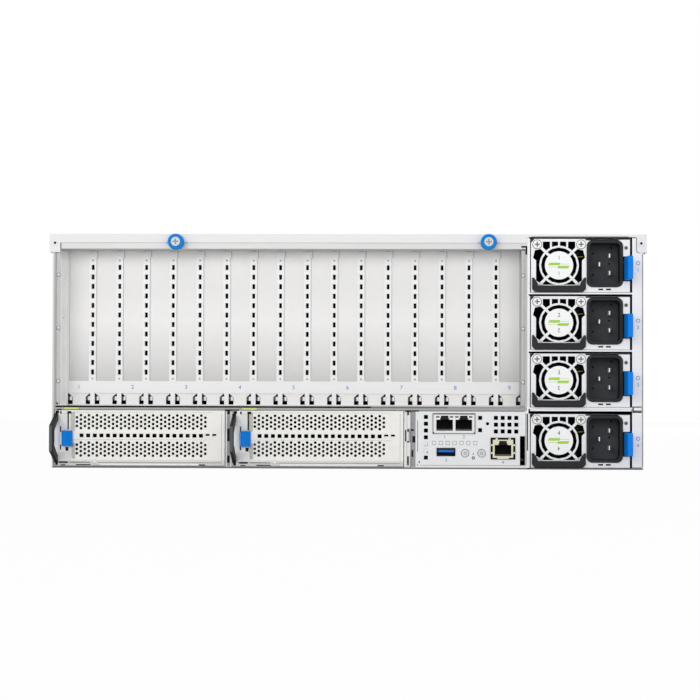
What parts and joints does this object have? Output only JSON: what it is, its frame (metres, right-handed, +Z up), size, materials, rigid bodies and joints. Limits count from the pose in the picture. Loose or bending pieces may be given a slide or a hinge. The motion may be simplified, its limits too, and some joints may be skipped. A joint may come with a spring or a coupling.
{
  "type": "rack server",
  "caption": "Four-unit rack server with a recessed row of expansion slots, hot-swap power supplies, pull-out riser modules, a connector panel, inner boards, system fans and rack ears.",
  "frame": {"origin": "middle of the chassis floor's underside", "axes": "+Z up, -Y to the rear with the power supplies, +X to the right of the rear view"},
  "size_m": [0.4826, 0.866, 0.1745],
  "materials": {
    "zinc_steel": "satin",
    "blank_steel": "satin",
    "supply_steel": "satin",
    "bright_metal": "bright",
    "blue_knob": "matt",
    "blue_latch": "matt",
    "dark_plastic": "matt",
    "inlet_black": "matt",
    "fan_black": "matt",
    "port_metal": "satin",
    "usb_blue": "matt",
    "button_white": "matt",
    "board_green": "satin",
    "cooler_metal": "satin",
    "memory_dark": "satin"
  },
  "bodies": {
    "chassis": {"chassis_pan": "zinc_steel", "front_cover": "zinc_steel", "rear_crossbar": "zinc_steel", "slot_wall": "zinc_steel", "slot_side_brackets": "zinc_steel", "slot_blanks": "blank_steel", "slot_clamp_bar": "zinc_steel", "middle_shelf": "zinc_steel", "bay_dividers": "zinc_steel", "psu_cage": "zinc_steel", "io_panel": "zinc_steel", "network_ports": "port_metal", "usb_port": "usb_blue", "motherboard": "board_green", "network_card": "board_green", "board_standoffs": "bright_metal", "cpu_heatsinks": "cooler_metal", "memory_modules": "memory_dark", "gpu_board": "board_green", "power_board": "board_green", "fan_wall": "fan_black", "front_panel": "dark_plastic", "rack_ear_left": "dark_plastic", "rack_ear_right": "dark_plastic"},
    "top_cover": {"top_cover": "zinc_steel"},
    "thumbscrew_left": {"thumbscrew_left": "blue_knob"},
    "thumbscrew_right": {"thumbscrew_right": "blue_knob"},
    "power_button": {"power_button": "button_white"},
    "id_button": {"id_button": "button_white"},
    "psu_1": {"psu_1_case": "supply_steel", "psu_1_inlet": "inlet_black"},
    "psu_1_handle": {"psu_1_handle": "dark_plastic"},
    "psu_1_latch": {"psu_1_latch": "blue_latch"},
    "psu_1_fan": {"psu_1_fan": "fan_black"},
    "psu_2": {"psu_2_case": "supply_steel", "psu_2_inlet": "inlet_black"},
    "psu_2_handle": {"psu_2_handle": "dark_plastic"},
    "psu_2_latch": {"psu_2_latch": "blue_latch"},
    "psu_2_fan": {"psu_2_fan": "fan_black"},
    "psu_3": {"psu_3_case": "supply_steel", "psu_3_inlet": "inlet_black"},
    "psu_3_handle": {"psu_3_handle": "dark_plastic"},
    "psu_3_latch": {"psu_3_latch": "blue_latch"},
    "psu_3_fan": {"psu_3_fan": "fan_black"},
    "psu_4": {"psu_4_case": "supply_steel", "psu_4_inlet": "inlet_black"},
    "psu_4_handle": {"psu_4_handle": "dark_plastic"},
    "psu_4_latch": {"psu_4_latch": "blue_latch"},
    "psu_4_fan": {"psu_4_fan": "fan_black"},
    "riser_left": {"riser_left_cage": "zinc_steel", "riser_left_blanks": "zinc_steel", "riser_left_handle": "dark_plastic"},
    "riser_left_latch": {"riser_left_latch": "blue_latch"},
    "riser_right": {"riser_right_cage": "zinc_steel", "riser_right_blanks": "zinc_steel", "riser_right_handle": "dark_plastic"},
    "riser_right_latch": {"riser_right_latch": "blue_latch"},
    "fan_rotor_1": {"fan_rotor_1": "fan_black"},
    "fan_rotor_2": {"fan_rotor_2": "fan_black"},
    "fan_rotor_3": {"fan_rotor_3": "fan_black"}
  },
  "joints": [
    {"name": "top_cover_slide", "type": "slide", "parent": "chassis", "child": "top_cover", "axis": [0, -1, 0], "range_m": [0, 0.02]},
    {"name": "thumbscrew_left_turn", "type": "hinge", "parent": "top_cover", "child": "thumbscrew_left", "pos_m": [-0.1273, -0.4, 0.1684], "axis": [0, 1, 0], "continuous": true},
    {"name": "thumbscrew_right_turn", "type": "hinge", "parent": "top_cover", "child": "thumbscrew_right", "pos_m": [0.1051, -0.4, 0.1684], "axis": [0, 1, 0], "continuous": true},
    {"name": "power_button_press", "type": "slide", "parent": "chassis", "child": "power_button", "axis": [0, 1, 0], "range_m": [0, 0.001], "stiffness_N_per_m": 400, "springref_m": -0.002},
    {"name": "id_button_press", "type": "slide", "parent": "chassis", "child": "id_button", "axis": [0, 1, 0], "range_m": [0, 0.001], "stiffness_N_per_m": 400, "springref_m": -0.002},
    {"name": "psu_1_slide", "type": "slide", "parent": "chassis", "child": "psu_1", "axis": [0, -1, 0], "range_m": [0, 0.28]},
    {"name": "psu_1_handle_swing", "type": "hinge", "parent": "psu_1", "child": "psu_1_handle", "pos_m": [0.1573, -0.4021, 0.1412], "axis": [-1, 0, 0], "range_deg": [0, 90]},
    {"name": "psu_1_latch_press", "type": "hinge", "parent": "psu_1", "child": "psu_1_latch", "pos_m": [0.2076, -0.394, 0.14905], "axis": [0, 0, -1], "range_deg": [0, 4], "stiffness_Nm_per_rad": 0.5, "springref_deg": -5.73},
    {"name": "psu_1_fan_spin", "type": "hinge", "parent": "psu_1", "child": "psu_1_fan", "pos_m": [0.1574, -0.383, 0.1515], "axis": [0, 1, 0], "continuous": true},
    {"name": "psu_2_slide", "type": "slide", "parent": "chassis", "child": "psu_2", "axis": [0, -1, 0], "range_m": [0, 0.28]},
    {"name": "psu_2_handle_swing", "type": "hinge", "parent": "psu_2", "child": "psu_2_handle", "pos_m": [0.1573, -0.4021, 0.0986], "axis": [-1, 0, 0], "range_deg": [0, 90]},
    {"name": "psu_2_latch_press", "type": "hinge", "parent": "psu_2", "child": "psu_2_latch", "pos_m": [0.2076, -0.394, 0.10645], "axis": [0, 0, -1], "range_deg": [0, 4], "stiffness_Nm_per_rad": 0.5, "springref_deg": -5.73},
    {"name": "psu_2_fan_spin", "type": "hinge", "parent": "psu_2", "child": "psu_2_fan", "pos_m": [0.1574, -0.383, 0.1089], "axis": [0, 1, 0], "continuous": true},
    {"name": "psu_3_slide", "type": "slide", "parent": "chassis", "child": "psu_3", "axis": [0, -1, 0], "range_m": [0, 0.28]},
    {"name": "psu_3_handle_swing", "type": "hinge", "parent": "psu_3", "child": "psu_3_handle", "pos_m": [0.1573, -0.4021, 0.056], "axis": [-1, 0, 0], "range_deg": [0, 90]},
    {"name": "psu_3_latch_press", "type": "hinge", "parent": "psu_3", "child": "psu_3_latch", "pos_m": [0.2076, -0.394, 0.06385], "axis": [0, 0, -1], "range_deg": [0, 4], "stiffness_Nm_per_rad": 0.5, "springref_deg": -5.73},
    {"name": "psu_3_fan_spin", "type": "hinge", "parent": "psu_3", "child": "psu_3_fan", "pos_m": [0.1574, -0.383, 0.0663], "axis": [0, 1, 0], "continuous": true},
    {"name": "psu_4_slide", "type": "slide", "parent": "chassis", "child": "psu_4", "axis": [0, -1, 0], "range_m": [0, 0.28]},
    {"name": "psu_4_handle_swing", "type": "hinge", "parent": "psu_4", "child": "psu_4_handle", "pos_m": [0.1573, -0.4021, 0.0111], "axis": [-1, 0, 0], "range_deg": [0, 90]},
    {"name": "psu_4_latch_press", "type": "hinge", "parent": "psu_4", "child": "psu_4_latch", "pos_m": [0.2076, -0.394, 0.01895], "axis": [0, 0, -1], "range_deg": [0, 4], "stiffness_Nm_per_rad": 0.5, "springref_deg": -5.73},
    {"name": "psu_4_fan_spin", "type": "hinge", "parent": "psu_4", "child": "psu_4_fan", "pos_m": [0.1574, -0.383, 0.0214], "axis": [0, 1, 0], "continuous": true},
    {"name": "riser_left_slide", "type": "slide", "parent": "chassis", "child": "riser_left", "axis": [0, -1, 0], "range_m": [0, 0.175]},
    {"name": "riser_left_latch_slide", "type": "slide", "parent": "riser_left", "child": "riser_left_latch", "axis": [1, 0, 0], "range_m": [0, 0.003], "stiffness_N_per_m": 300, "springref_m": -0.004},
    {"name": "riser_right_slide", "type": "slide", "parent": "chassis", "child": "riser_right", "axis": [0, -1, 0], "range_m": [0, 0.175]},
    {"name": "riser_right_latch_slide", "type": "slide", "parent": "riser_right", "child": "riser_right_latch", "axis": [1, 0, 0], "range_m": [0, 0.003], "stiffness_N_per_m": 300, "springref_m": -0.004},
    {"name": "fan_rotor_1_spin", "type": "hinge", "parent": "chassis", "child": "fan_rotor_1", "pos_m": [-0.14587, 0.218, 0.08725], "axis": [0, 1, 0], "continuous": true},
    {"name": "fan_rotor_2_spin", "type": "hinge", "parent": "chassis", "child": "fan_rotor_2", "pos_m": [0, 0.218, 0.08725], "axis": [0, 1, 0], "continuous": true},
    {"name": "fan_rotor_3_spin", "type": "hinge", "parent": "chassis", "child": "fan_rotor_3", "pos_m": [0.14587, 0.218, 0.08725], "axis": [0, 1, 0], "continuous": true}
  ]
}
